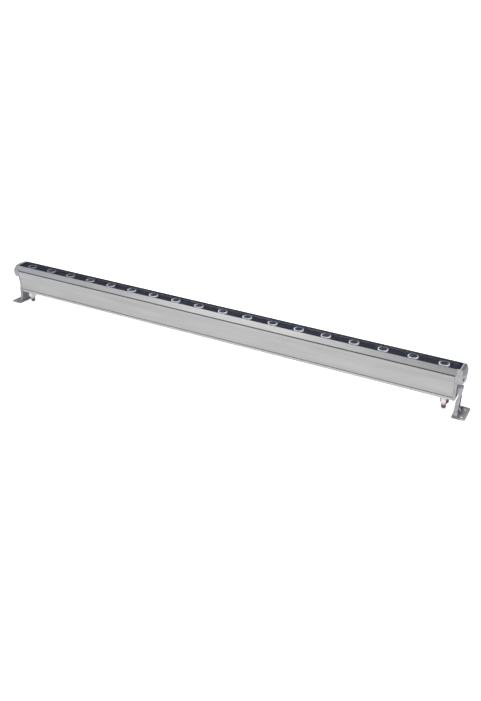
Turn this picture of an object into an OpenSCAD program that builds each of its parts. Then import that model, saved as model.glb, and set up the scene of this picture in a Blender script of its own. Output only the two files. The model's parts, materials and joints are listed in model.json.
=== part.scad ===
// Outdoor linear wall washer: an extruded housing with a row of lensed emitters under glass,
// a cast cap on each end, and two cast brackets that the light swivels on.
// X runs along the light, Y across it with the front to -Y, and Z points up.
// The origin is on the mounting plane, midway between the two brackets.
// Depths are measured down from the crown, the plane of the housing's two top rims.

/* [Housing] */
// Length of the extruded housing between the two end caps
housing_length = 974; // [700:1:1400]
// Width over the two top rims
crown_width = 30; // [29.4:0.2:34]
// Widest part of the section, at the shoulder
body_width = 42; // [41:0.5:48]
// Width where the sloping band below the shoulder ends
waist_width = 36; // [35:0.5:38]
// Width of the section at the lower groove, where the main face ends
base_width = 27; // [26.5:0.5:30]
// Width of the underside, below the inward sloping flange
underside_width = 23.5; // [22:0.5:26]
// Depth of the shoulder, where the top chamfer ends
shoulder_depth = 10; // [9:0.5:11]
// Depth where the upright strip ends and the sloping band starts
strip_depth = 17; // [16:0.5:18]
// Depth where the sloping band ends and the main face starts
waist_depth = 26; // [25:0.5:28]
// Depth where the main face meets the flange at the foot of the section
sill_depth = 55; // [54:0.5:56]
// Full height of the section
body_depth = 62.5; // [60:0.5:63]
// Thickness of the outer walls
wall = 2; // [1.6:0.1:2.4]
// Height of the groove at the shoulder, along each side
shoulder_groove = 1.7; // [0.8:0.1:1.8]
// Height of the groove at the foot of the main face
sill_groove = 2; // [1.2:0.1:2.2]
// Depth of both grooves into the wall
groove_cut = 1.1; // [0.6:0.1:1.2]

/* [Glass and optics] */
// Width of the cover glass
glass_width = 28; // [27.4:0.1:28.2]
// Thickness of the cover glass
glass_thickness = 3; // [2.5:0.1:3.4]
// How far the glass lies below the rims
glass_recess = 0.3; // [0.2:0.1:0.6]
// How far the glass runs on over the top of each end cap
glass_lap = 4.5; // [3:0.1:5]
// Thickness of the seal that the glass lies on
seal_thickness = 1; // [0.8:0.1:1.2]
// Width of the chamber that the optics stand in
chamber_width = 22; // [21.6:0.1:22.2]
// Diameter of a lens holder over its rim
holder_diameter = 18.5; // [17.5:0.1:19]
// Diameter of the clear lens at its front
lens_diameter = 15.6; // [14.6:0.1:16]
// Depth of the shelf that carries the emitter boards
shelf_depth = 17.6; // [17:0.1:18]
// Thickness of that shelf
shelf_thickness = 2; // [1.6:0.1:2.4]
// Thickness of the emitter boards
board_thickness = 1.6; // [1:0.1:2]
// Width of the emitter boards
board_width = 20; // [18:0.5:21]

/* [End caps] */
// How far a cap reaches beyond the housing at its front and rear corners
cap_reach = 12; // [11:0.1:13]
// How much further the middle of its domed outer face stands out
cap_dome = 3.6; // [2:0.1:4.5]
// Depth of the bulging upper part of a cap
bulge_depth = 25.5; // [24:0.5:28]
// Thickness of the plate below the bulge
cap_plate = 4.5; // [4:0.1:5]
// Height of the conical bevel round the top of the bulge
bevel_height = 9; // [7:0.5:10]
// How far that bevel leans in
bevel_reach = 3.8; // [2:0.1:4]

/* [Brackets] */
// Height of the swivel axis above the mounting plane
pivot_height = 47; // [46:0.5:60]
// Depth of the swivel axis below the crown
pivot_depth = 43; // [40:0.5:44]
// Radius of the swivel screw's shank
pivot_radius = 3; // [2.5:0.1:3.2]
// Width of the knuckle round the swivel screw
knuckle_width = 15; // [14:0.5:17]
// Height of the knuckle above the swivel axis
knuckle_rise = 6.5; // [6.2:0.1:7.5]
// Width of the arm below the knuckle
arm_width = 20; // [18:0.5:22]
// Thickness of the arm over its ribbed edges
arm_thickness = 6.4; // [6:0.1:7]
// Length of the foot across the light
foot_length = 46; // [46:0.5:60]
// Reach of the foot from its inner to its outer edge
foot_reach = 23.5; // [22.5:0.5:30]
// Thickness of the foot
foot_thickness = 2.8; // [2.6:0.1:4]
// Distance between the two fixing holes of a foot
hole_spacing = 28; // [20:0.5:32]
// Radius of the fixing holes
hole_radius = 3.4; // [2.5:0.1:3.6]

/* [Cable glands] */
// Distance of each gland from the end of the housing
gland_inset = 15; // [14:0.5:40]
// Width of the gland's hexagon across its flats
gland_hexagon = 14; // [13:0.5:15]
// Height of the dome nut
gland_nut_height = 12; // [12:0.5:14.5]
// Radius of the hole for the cable
cable_radius = 2.6; // [2:0.1:2.8]
// How far the rubber sleeve stands out of the dome nut
sleeve_reach = 7.4; // [5:0.1:7.5]

/* [Driver] */
// Length of the driver block
driver_length = 400; // [250:5:450]
// Height of the driver block
driver_height = 19; // [14:0.5:20]

/* [Hidden] */
$fn = 64;
overrun = 1;
lens_count = 18;
board_count = 3;
lenses_per_board = lens_count / board_count;
quarter_turn = 90;
half_turn = 180;
hexagon_sides = 6;
hexagon_scale = 1 / cos(half_turn / hexagon_sides);
arc_steps = 8;

crown_height = pivot_height + pivot_depth;
housing_end = housing_length / 2;
lens_pitch = (housing_length + cap_plate) / lens_count;
glass_length = housing_length + 2 * glass_lap;
chamber_half = chamber_width / 2;

// Clearances
running_gap = 0.05;
loose_gap = 0.2;
side_gap = 0.1;

// Stack under the crown
glass_bottom = glass_recess + glass_thickness;
holder_top = glass_bottom + loose_gap;
seal_bottom = glass_bottom + seal_thickness;
seal_end_bar = 1.6;
holder_stand = 2.2;
tray_top = holder_top + holder_stand;
tray_thickness = 1.4;
tray_bottom = tray_top + tray_thickness;
tray_ledge = 1.2;
tray_channel_half = chamber_half + tray_ledge;
glass_pocket_half = glass_width / 2 + side_gap;
board_top = shelf_depth - board_thickness;
board_gap = cap_plate + 0.8;

// Lens and holder
holder_skirt = holder_stand + tray_thickness;
holder_base_radius = 6.6;
lens_recess = 1;
lens_top = holder_top + lens_recess;
lens_bottom = board_top - board_thickness;
lens_base_radius = 4;
lens_curve = 1.5;
lens_dome = 0.6;
lens_well_radius = 2.6;
lens_well_height = 3;
emitter_size = 3.5;
emitter_height = 0.9;
emitter_dome = 1.4;

// Screws and wires of the boards
board_screw_radius = 1.45;
board_screw_head = 2.6;
board_screw_head_height = 1.8;
board_screw_length = 5;
lead_radius = 0.9;
lead_spacing = 3.4;
link_length = 12;
link_width = 7;
link_height = 1.4;

// Cavities beside and below the optics chamber
duct_wall = 1.8;
duct_top = 8;
room_top = shelf_depth + shelf_thickness;
room_bottom = body_depth - wall;

// Channels for the end-cap screws
cap_screw_radius = 1.7;
cap_screw_head = 3.2;
cap_screw_cone = 1.6;
cap_screw_length = 13;
cap_screw_slot = 1;
channel_wall = 1;
channel_radius = cap_screw_radius + running_gap;
channel_outer = channel_radius + channel_wall;
upper_channel_depth = shelf_depth - channel_radius - channel_wall / 2;
upper_channel_y = (chamber_half + duct_wall + outer_half(upper_channel_depth) - wall) / 2;

// Rails that the driver and the terminal blocks slide on
rail_depth = 49;
rail_thickness = 1.5;
rail_width = 3;
rail_half = outer_half(rail_depth) - wall - rail_width;
lower_channel_depth = rail_depth + rail_thickness + channel_radius + channel_wall / 2;
lower_channel_y = outer_half(lower_channel_depth) - wall - channel_radius;
driver_half = outer_half(rail_depth) - wall - side_gap;
driver_edge = 1.5;
terminal_length = 34;
terminal_height = 12;
terminal_inset = 59;
terminal_start = housing_end - terminal_inset - terminal_length;
terminal_hole_radius = lead_radius + side_gap;
terminal_hole_depth = 8;
terminal_pitch = 6;

// Inside of a cap
gasket_thickness = 1;
gasket_margin = 2.4;
gasket_top = tray_bottom + wall;
swivel_boss_wall = 3.2;
swivel_boss_radius = pivot_radius + swivel_boss_wall;
swivel_boss_length = 4;
cap_corner = 2.4;
bulge_corner = 0.8;
cap_rim = 1.6;
cap_rim_height = 0.4;

// Bracket, measured outwards from the end of the housing
washer_thickness = 0.8;
bracket_inner = cap_plate + washer_thickness + side_gap;
knuckle_thickness = 7.4;
knuckle_corner = 3;
knuckle_drop = knuckle_rise;
shoulder_fall = 9;
arm_relief = 2.6;
arm_relief_height = 8;
arm_relief_fall = 5;
arm_flare = 12;
rib_width = 2.4;
pocket_cut = 2.4;
pocket_rise = 3;
pocket_fall = 4;
foot_lip = 1;
foot_corner = 3;
hole_margin = 7.4;
gusset_thickness = 3.4;
gusset_reach = 5;
gusset_rise = 8;
bracket_top = pivot_height + knuckle_rise;
knuckle_bottom = pivot_height - knuckle_drop;
knuckle_half = knuckle_width / 2;
arm_half = arm_width / 2;
knuckle_outer = bracket_inner + knuckle_thickness;
arm_outer = bracket_inner + arm_thickness;
foot_inner = bracket_inner - foot_lip;
foot_outer = foot_inner + foot_reach;

// Swivel screw
pivot_head_radius = 4.6;
pivot_head_height = 3.1;
pivot_counterbore = 3.6;
pivot_head_edge = 0.9;
pivot_key_radius = 2.1;
pivot_key_depth = 1.8;
pivot_washer_radius = pivot_head_radius + side_gap;
counterbore_floor = knuckle_outer - pivot_counterbore;
outer_washer_start = counterbore_floor + side_gap;
pivot_head_start = outer_washer_start + washer_thickness;

// Cable gland, from the housing's underside down
gland_thread_radius = 4.9;
gland_ring_thickness = 0.8;
gland_ring_width = 1.7;
gland_body_top = body_depth + gland_ring_thickness;
gland_body_height = 4;
gland_collar_radius = 5.6;
gland_collar_height = 5;
gland_wall = 1.1;
gland_bore_radius = gland_thread_radius - gland_wall;
gland_body_bottom = gland_body_top + gland_body_height;
gland_collar_bottom = gland_body_bottom + gland_collar_height;
gland_nut_top = gland_body_bottom + loose_gap;
gland_nut_bottom = gland_nut_top + gland_nut_height;
gland_flat_height = 6;
gland_edge = 0.8;
sleeve_wall = 1.4;
sleeve_radius = cable_radius + sleeve_wall;
sleeve_edge = 1;
gland_mouth_radius = sleeve_radius + side_gap;
gland_mouth_wall = 0.9;
sleeve_top = gland_collar_bottom + loose_gap;
sleeve_bottom = gland_nut_bottom + sleeve_reach;
locknut_hexagon = 12;
locknut_height = 2.6;
gland_spigot_top = room_bottom - locknut_height - gland_edge;

lens_names = [for (i = [1 : lens_count]) str("lens_", i < 10 ? "0" : "", i)];
side_names = ["left", "right"];
board_names = ["left", "middle", "right"];

// Half width of the section at a given depth below the crown
function outer_half(depth) = lookup(depth, [
    [0, crown_width / 2],
    [shoulder_depth, body_width / 2],
    [strip_depth, body_width / 2],
    [waist_depth, waist_width / 2],
    [sill_depth, base_width / 2],
    [body_depth, underside_width / 2],
]);

// Two depths, and those between them at which the outline bends
function bend_depths(top, bottom) = concat(
    [top],
    [for (depth = [shoulder_depth, strip_depth, waist_depth, sill_depth])
        if (depth > top && depth < bottom) depth],
    [bottom]);

// One flank of the section, moved in by inset
function flank(top, bottom, inset) =
    [for (depth = bend_depths(top, bottom)) [outer_half(depth) - inset, -depth]];

// The other flank, upwards
function far_flank(side) = [for (i = [len(side) - 1 : -1 : 0]) [-side[i][0], side[i][1]]];

// Closed slice of the section between two depths
function slice(top, bottom, inset = 0) = let (side = flank(top, bottom, inset))
    concat(side, far_flank(side));

function arc(centre, radius, from, to) =
    [for (i = [0 : arc_steps]) let (angle = from + (to - from) * i / arc_steps)
        centre + radius * [cos(angle), sin(angle)]];

// Outer radius of a lens at a depth, drawn in towards the emitter
function lens_radius(depth) = let (share = (depth - lens_top) / (lens_bottom - lens_top))
    lens_diameter / 2 - (lens_diameter / 2 - lens_base_radius) * pow(share, lens_curve);

lens_depths = [for (i = [0 : arc_steps]) lens_top + (lens_bottom - lens_top) * i / arc_steps];

function lens_x(i) = (i - (lens_count - 1) / 2) * lens_pitch;
function board_x(i) = (i - (board_count - 1) / 2) * lenses_per_board * lens_pitch;

// Middles between lenses, where a board is screwed down
board_screw_places = [for (i = [1 : 2 : lenses_per_board - 1]) (i - lenses_per_board / 2) * lens_pitch];

// Extrudes a section drawn in Y and Z along X
module along_x(from, to)
    translate([from, 0, 0]) rotate([quarter_turn, 0, quarter_turn]) linear_extrude(to - from) children();

// Extrudes a side view drawn in X and Z across the light
module across_y(width)
    translate([0, width / 2, 0]) rotate([quarter_turn, 0, 0]) linear_extrude(width) children();

module rod_x(radius, from, to)
    translate([from, 0, 0]) rotate([0, quarter_turn, 0]) cylinder(r = radius, h = to - from);

module cone_x(radius_from, radius_to, from, to)
    translate([from, 0, 0]) rotate([0, quarter_turn, 0])
        cylinder(r1 = radius_from, r2 = radius_to, h = to - from);

module hexagon_x(radius, from, to)
    translate([from, 0, 0]) rotate([0, quarter_turn, 0])
        cylinder(r = radius, h = to - from, $fn = hexagon_sides);

// Upright rod between two depths
module post(radius, top, bottom)
    translate([0, 0, -bottom]) cylinder(r = radius, h = bottom - top);

module hexagon_post(flats, top, bottom)
    translate([0, 0, -bottom])
        cylinder(r = flats / 2 * hexagon_scale, h = bottom - top, $fn = hexagon_sides);

// Block centred on X and Y between two depths
module block(length, width, top, bottom)
    translate([-length / 2, -width / 2, -bottom]) cube([length, width, bottom - top]);

// Rectangle of a section between two depths
module band(half, top, bottom)
    translate([-half, -bottom]) square([2 * half, bottom - top]);

module rounded_plate(size, corner) {
    translate([corner, 0]) square([size[0] - 2 * corner, size[1]]);
    translate([0, corner]) square([size[0], size[1] - 2 * corner]);
    for (x = [corner, size[0] - corner], y = [corner, size[1] - corner])
        translate([x, y]) circle(r = corner);
}

// Raises depths to heights above the mounting plane
module hung() translate([0, 0, crown_height]) children();

// Right-hand piece whose x starts at the end of the housing, or its left-hand twin
module at_end(name)
    mirror([name == "left" ? 1 : 0, 0, 0]) translate([housing_end, 0, 0]) children();

module cap_screw_places() {
    for (side = [-1, 1]) {
        translate([0, side * upper_channel_y, -upper_channel_depth]) children();
        translate([0, side * lower_channel_y, -lower_channel_depth]) children();
    }
}

module side_grooves(depth, height)
    for (side = [-1, 1])
        translate([side * outer_half(depth + height / 2), -depth - height / 2])
            square([2 * groove_cut, height], center = true);

// Duct between the optics chamber and the outer wall, on both sides
module ducts()
    for (side = [0, 1])
        mirror([side, 0])
            polygon(concat(flank(duct_top, shelf_depth, wall),
                           [[chamber_half + duct_wall, -shelf_depth],
                            [chamber_half + duct_wall, -duct_top]]));

module driver_room() difference() {
    polygon(slice(room_top, room_bottom, wall));
    for (side = [-1, 1])
        translate([side * (rail_half + rail_width) - rail_width, -lower_channel_depth])
            square([2 * rail_width, lower_channel_depth - rail_depth]);
}

module housing_section() difference() {
    polygon(slice(0, body_depth));
    side_grooves(shoulder_depth, shoulder_groove);
    side_grooves(sill_depth, sill_groove);
    band(glass_pocket_half, -overrun, seal_bottom);
    band(tray_channel_half, 0, tray_bottom);
    band(chamber_half, 0, shelf_depth);
    ducts();
    driver_room();
}

module housing() color("silver") hung() difference() {
    union() {
        along_x(-housing_end, housing_end) housing_section();
        cap_screw_places() rod_x(channel_outer, -housing_end, housing_end);
    }
    cap_screw_places() rod_x(channel_radius, -housing_end - overrun, housing_end + overrun);
    for (side = [-1, 1])
        translate([side * (housing_end - gland_inset), 0, 0])
            post(gland_thread_radius + running_gap, room_bottom - overrun, body_depth + overrun);
    board_screw_holes() post(board_screw_radius + running_gap, shelf_depth - overrun, room_top + overrun);
    board_lead_places() post(lead_radius + side_gap, shelf_depth - overrun, room_top + overrun);
}

module glass_cover() color([0.1, 0.12, 0.16, 0.6]) hung()
    block(glass_length, glass_width, glass_recess, glass_bottom);

module glass_seal() color("dimgray") hung() difference() {
    block(glass_length, glass_width, glass_bottom, seal_bottom);
    block(housing_length - 2 * seal_end_bar, 2 * (tray_channel_half + loose_gap),
          glass_bottom - overrun, seal_bottom + overrun);
}

module lens_tray() color("black") hung() difference() {
    block(housing_length - 2 * (seal_end_bar + loose_gap), 2 * (tray_channel_half - loose_gap),
          tray_top, tray_bottom);
    for (i = [0 : lens_count - 1])
        translate([lens_x(i), 0, 0])
            post(holder_diameter / 2 + side_gap, tray_top - overrun, tray_bottom + overrun);
}

// Cup that centres a lens over its emitter, with the bright rim that shows through the glass
module lens_holder() rotate_extrude() polygon(concat(
    [[holder_diameter / 2, -holder_top],
     [holder_diameter / 2, -holder_top - holder_skirt],
     [holder_base_radius, -board_top],
     [lens_base_radius + side_gap, -board_top]],
    [for (i = [arc_steps : -1 : 0]) [lens_radius(lens_depths[i]) + side_gap, -lens_depths[i]]],
    [[lens_diameter / 2 + side_gap, -holder_top]]));

module lens_holders() color("gainsboro") hung()
    for (i = [0 : lens_count - 1]) translate([lens_x(i), 0, 0]) lens_holder();

// Solid lens with a shallow crown, a well over the emitter and reflecting flanks between
module lens(i) color([0.9, 0.95, 1, 0.5]) hung() translate([lens_x(i), 0, 0])
    rotate_extrude() polygon(concat(
        [[0, -lens_top + lens_dome], [lens_diameter / 4, -lens_top + lens_dome * 3 / 4]],
        [for (depth = lens_depths) [lens_radius(depth), -depth]],
        [[lens_well_radius, -lens_bottom],
         [lens_well_radius, -lens_bottom + lens_well_height],
         [0, -lens_bottom + lens_well_height]]));

module board_screw_holes()
    for (i = [0 : board_count - 1], x = board_screw_places)
        translate([board_x(i) + x, 0, 0]) children();

// The two wires pass down beside the middle board's second gap
module board_lead_places()
    for (side = [-1, 1]) translate([lens_pitch, side * lead_spacing / 2, 0]) children();

module led_board(i) color("whitesmoke") hung() difference() {
    translate([board_x(i), 0, 0])
        block(lenses_per_board * lens_pitch - board_gap, board_width, board_top, shelf_depth);
    board_screw_holes() post(board_screw_radius + running_gap, board_top - overrun, shelf_depth + overrun);
    board_lead_places() post(lead_radius + side_gap, board_top - overrun, shelf_depth + overrun);
}

module emitters(board) color("khaki") hung()
    for (i = [0 : lenses_per_board - 1])
        translate([lens_x(board * lenses_per_board + i), 0, -board_top]) {
            translate([-emitter_size / 2, -emitter_size / 2, 0])
                cube([emitter_size, emitter_size, emitter_height]);
            translate([0, 0, emitter_height]) intersection() {
                sphere(r = emitter_dome);
                translate([-emitter_dome, -emitter_dome, -emitter_height / 2])
                    cube([2 * emitter_dome, 2 * emitter_dome, 2 * emitter_dome]);
            }
        }

module board_screws() color("lightgray") hung() board_screw_holes() {
    post(board_screw_radius, board_top, board_top + board_screw_length);
    post(board_screw_head, board_top - board_screw_head_height, board_top);
}

// Small bridges that carry current from one board to the next
module board_links() color("ivory") hung()
    for (side = [-1, 1])
        translate([side * lenses_per_board * lens_pitch / 2, 0, 0])
            block(link_length, link_width, board_top - link_height, board_top);

module board_leads() color("firebrick") hung()
    board_lead_places() post(lead_radius, board_top - link_height, rail_depth - driver_height);

module driver() color("darkslategray") hung() along_x(-driver_length / 2, driver_length / 2)
    polygon([[driver_half - driver_edge, -rail_depth], [driver_half, -rail_depth + driver_edge],
             [driver_half, -rail_depth + driver_height - driver_edge],
             [driver_half - driver_edge, -rail_depth + driver_height],
             [-driver_half + driver_edge, -rail_depth + driver_height],
             [-driver_half, -rail_depth + driver_height - driver_edge],
             [-driver_half, -rail_depth + driver_edge], [-driver_half + driver_edge, -rail_depth]]);

module terminal_holes()
    for (i = [-1 : 1])
        translate([terminal_start - housing_end, i * terminal_pitch, -rail_depth + terminal_height / 2])
            children();

module terminal_block(name) color("honeydew") hung() at_end(name) difference() {
    translate([-terminal_inset - terminal_length / 2, 0, 0])
        block(terminal_length, 2 * (driver_half - driver_edge), rail_depth - terminal_height, rail_depth);
    terminal_holes() rod_x(terminal_hole_radius, -overrun, terminal_hole_depth);
    terminal_holes() rod_x(terminal_hole_radius, terminal_length - terminal_hole_depth,
                           terminal_length + overrun);
}

// Wires between the driver and the blocks, seated in the block's holes
module driver_leads() color("saddlebrown") hung()
    for (name = side_names)
        at_end(name) terminal_holes()
            rod_x(lead_radius, driver_length / 2 - terminal_start, terminal_hole_depth - overrun);

// Solid of revolution about an upright axis that gives a cap its domed outer face and bevels
module cap_dome_turn() {
    half = body_width / 2;
    radius = (pow(half, 2) + pow(cap_dome, 2)) / (2 * cap_dome);
    translate([cap_reach + cap_dome - radius, 0, 0]) rotate_extrude() polygon([
        [0, overrun],
        [radius - bevel_reach - bevel_reach * overrun / bevel_height, overrun],
        [radius, -bevel_height],
        [radius, -bulge_depth + bulge_corner],
        [radius - bulge_corner, -bulge_depth],
        [0, -bulge_depth]]);
}

module cap_shell() {
    intersection() {
        along_x(0, cap_reach + cap_dome + overrun) polygon(slice(0, bulge_depth + overrun));
        cap_dome_turn();
    }
    difference() {
        along_x(0, cap_plate) polygon(slice(0, body_depth));
        translate([cap_plate - cap_corner, 0, -body_depth + cap_corner]) across_y(2 * body_width)
            difference() {
                translate([0, -cap_corner - overrun])
                    square([cap_corner + overrun, cap_corner + overrun]);
                circle(r = cap_corner);
            }
    }
}

module end_cap(name) color("silver") hung() at_end(name) difference() {
    union() {
        cap_shell();
        translate([0, 0, -pivot_depth]) rod_x(swivel_boss_radius, -swivel_boss_length, cap_plate);
    }
    difference() {
        along_x(-overrun, gasket_thickness) gasket_outline();
        translate([0, 0, -pivot_depth])
            rod_x(swivel_boss_radius, -swivel_boss_length, cap_plate);
    }
    along_x(-overrun, glass_lap + side_gap) band(glass_pocket_half, -overrun, seal_bottom);
    along_x(glass_lap + side_gap + cap_rim, cap_reach + cap_dome + overrun)
        band(body_width, -overrun, cap_rim_height);
    translate([0, 0, -pivot_depth])
        rod_x(pivot_radius + running_gap, -swivel_boss_length + overrun, cap_plate + overrun);
    cap_screw_places() {
        rod_x(cap_screw_radius + side_gap, -overrun, cap_plate);
        cone_x(cap_screw_radius + side_gap, cap_screw_head + side_gap,
               cap_plate - cap_screw_cone, cap_plate);
        rod_x(cap_screw_head + side_gap, cap_plate, cap_reach + cap_dome + overrun);
    }
}

module gasket_outline() polygon(slice(gasket_top, body_depth - wall / 2, gasket_margin / 2));

module cap_gasket(name) color("dimgray") hung() at_end(name) difference() {
    along_x(0, gasket_thickness) gasket_outline();
    cap_screw_places()
        rod_x(cap_screw_radius + side_gap, -overrun, gasket_thickness + overrun);
    translate([0, 0, -pivot_depth])
        rod_x(swivel_boss_radius + side_gap, -overrun, gasket_thickness + overrun);
}

module cap_screws(name) color("gainsboro") hung() at_end(name) cap_screw_places() difference() {
    union() {
        rod_x(cap_screw_radius, -cap_screw_length, cap_plate - cap_screw_cone);
        cone_x(cap_screw_radius, cap_screw_head, cap_plate - cap_screw_cone, cap_plate);
    }
    hexagon_x(cap_screw_radius, cap_plate - cap_screw_slot, cap_plate + overrun);
}

// Front view of a bracket: knuckle, tapered arm, and flares that reach the ends of the foot
function bracket_flank() = concat(
    arc([knuckle_half - knuckle_corner, bracket_top - knuckle_corner], knuckle_corner, quarter_turn, 0),
    [[knuckle_half, knuckle_bottom], [arm_half, knuckle_bottom - shoulder_fall]],
    arc([arm_half + arm_flare, foot_thickness + arm_flare], arm_flare, half_turn, half_turn + quarter_turn),
    [[arm_half + arm_flare, 0]]);

// Hollow between the two ribs on the arm's outer side
function pocket_flank() = concat(
    [[knuckle_half - rib_width, knuckle_bottom - pocket_fall],
     [arm_half - rib_width, knuckle_bottom - shoulder_fall]],
    [for (point = arc([arm_half + arm_flare, foot_thickness + arm_flare], arm_flare + rib_width,
                      half_turn, half_turn + quarter_turn))
        if (point[1] > foot_thickness + pocket_rise) point],
    [[arm_half, foot_thickness + pocket_rise]]);

// Side view of a bracket: the arm is relieved behind the knuckle to clear the cap
module bracket_side() polygon([
    [bracket_inner, bracket_top], [knuckle_outer, bracket_top],
    [knuckle_outer, knuckle_bottom], [arm_outer, knuckle_bottom - knuckle_outer + arm_outer],
    [arm_outer, 0], [bracket_inner, 0],
    [bracket_inner, knuckle_bottom - arm_relief_height - arm_relief_fall],
    [bracket_inner + arm_relief, knuckle_bottom - arm_relief_height],
    [bracket_inner + arm_relief, knuckle_bottom], [bracket_inner, knuckle_bottom]]);

module gusset() across_y(gusset_thickness)
    polygon([[arm_outer - pocket_cut, foot_thickness - overrun],
             [arm_outer + gusset_reach, foot_thickness - overrun],
             [arm_outer + gusset_reach, foot_thickness],
             [arm_outer, foot_thickness + gusset_rise],
             [arm_outer - pocket_cut, foot_thickness + gusset_rise]]);

module bracket(name) color("silver") at_end(name) difference() {
    union() {
        difference() {
            intersection() {
                along_x(foot_inner, knuckle_outer + overrun)
                    polygon(concat(bracket_flank(), far_flank(bracket_flank())));
                across_y(2 * foot_length) bracket_side();
            }
            along_x(arm_outer - pocket_cut, arm_outer + overrun)
                polygon(concat(pocket_flank(), far_flank(pocket_flank())));
        }
        gusset();
        translate([foot_inner, -foot_length / 2, 0])
            linear_extrude(foot_thickness) rounded_plate([foot_reach, foot_length], foot_corner);
    }
    translate([0, 0, pivot_height]) {
        rod_x(pivot_radius + running_gap, bracket_inner - overrun, knuckle_outer + overrun);
        rod_x(pivot_washer_radius + loose_gap, counterbore_floor, knuckle_outer + overrun);
    }
    for (side = [-1, 1])
        translate([foot_outer - hole_margin, side * hole_spacing / 2, -overrun])
            cylinder(r = hole_radius, h = foot_thickness + 2 * overrun);
}

module swivel_screw(name) color("gainsboro") hung() at_end(name)
    translate([0, 0, -pivot_depth]) difference() {
        union() {
            rod_x(pivot_radius, -swivel_boss_length + 2 * overrun, pivot_head_start);
            rod_x(pivot_head_radius, pivot_head_start,
                  pivot_head_start + pivot_head_height - pivot_head_edge);
            cone_x(pivot_head_radius, pivot_head_radius - pivot_head_edge,
                   pivot_head_start + pivot_head_height - pivot_head_edge,
                   pivot_head_start + pivot_head_height);
        }
        hexagon_x(pivot_key_radius, pivot_head_start + pivot_head_height - pivot_key_depth,
                  pivot_head_start + pivot_head_height + overrun);
    }

module swivel_washers(name) color("gainsboro") hung() at_end(name)
    translate([0, 0, -pivot_depth]) difference() {
        union() {
            rod_x(pivot_washer_radius, cap_plate, cap_plate + washer_thickness);
            rod_x(pivot_washer_radius, outer_washer_start, pivot_head_start);
        }
        rod_x(pivot_radius + running_gap, -overrun, knuckle_outer);
    }

module at_gland(name) at_end(name) translate([-gland_inset, 0, 0]) children();

module gland_ring(name) color("dimgray") hung() at_gland(name) difference() {
    post(gland_thread_radius + gland_ring_width, body_depth, gland_body_top);
    post(gland_thread_radius + running_gap, body_depth - overrun, gland_body_top + overrun);
}

module gland_locknut(name) color("tan") hung() at_gland(name) difference() {
    hexagon_post(locknut_hexagon, room_bottom - locknut_height, room_bottom);
    post(gland_thread_radius + running_gap, room_bottom - locknut_height - overrun,
         room_bottom + overrun);
}

module gland_body(name) color("tan") hung() at_gland(name) difference() {
    union() {
        post(gland_thread_radius, gland_spigot_top, gland_body_bottom);
        hexagon_post(gland_hexagon, gland_body_top, gland_body_bottom);
        post(gland_collar_radius, gland_body_top, gland_collar_bottom);
    }
    post(gland_bore_radius, gland_spigot_top - overrun, gland_collar_bottom + overrun);
}

// Outline that turns a dome nut: bevelled hexagon above, drawn in to a round mouth below
module gland_dome_turn() {
    corner = gland_hexagon / 2 * hexagon_scale;
    mouth = gland_mouth_radius + gland_mouth_wall;
    rotate_extrude() polygon([
        [0, overrun - gland_nut_top],
        [corner - gland_edge - overrun, overrun - gland_nut_top],
        [corner + gland_edge, -gland_nut_top - 2 * gland_edge],
        [corner + gland_edge, -gland_nut_top - gland_flat_height],
        [gland_hexagon / 2 - gland_edge, -gland_nut_top - gland_flat_height - 2 * gland_edge],
        [(gland_hexagon / 2 + mouth) / 2,
         -(gland_nut_top + gland_flat_height + gland_nut_bottom) / 2],
        [mouth, -gland_nut_bottom + gland_edge],
        [mouth - gland_edge / 2, -gland_nut_bottom],
        [0, -gland_nut_bottom]]);
}

module gland_nut(name) color("tan") hung() at_gland(name) difference() {
    intersection() {
        hexagon_post(gland_hexagon, gland_nut_top, gland_nut_bottom + overrun);
        gland_dome_turn();
    }
    post(gland_collar_radius + side_gap, gland_nut_top - overrun, gland_collar_bottom + side_gap);
    post(gland_mouth_radius, gland_nut_top, gland_nut_bottom + overrun);
}

module gland_sleeve(name) color([0.15, 0.15, 0.17]) hung() at_gland(name)
    rotate_extrude() polygon([
        [cable_radius, -sleeve_top], [sleeve_radius, -sleeve_top],
        [sleeve_radius, -sleeve_bottom + sleeve_edge],
        [sleeve_radius - sleeve_edge, -sleeve_bottom], [cable_radius, -sleeve_bottom]]);

housing();
glass_cover();
glass_seal();
lens_tray();
lens_holders();
for (i = [0 : lens_count - 1])
    lens(i);
for (i = [0 : board_count - 1]) {
    led_board(i);
    emitters(i);
}
board_screws();
board_links();
board_leads();
driver();
driver_leads();
for (name = side_names) {
    terminal_block(name);
    end_cap(name);
    cap_gasket(name);
    cap_screws(name);
    bracket(name);
    swivel_screw(name);
    swivel_washers(name);
    gland_ring(name);
    gland_locknut(name);
    gland_body(name);
    gland_nut(name);
    gland_sleeve(name);
}
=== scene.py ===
# Outdoor wall washer light: looks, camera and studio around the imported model. Metres, +Z up.
import json
import math

import bmesh
import bpy
from mathutils import Matrix, Vector


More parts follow.
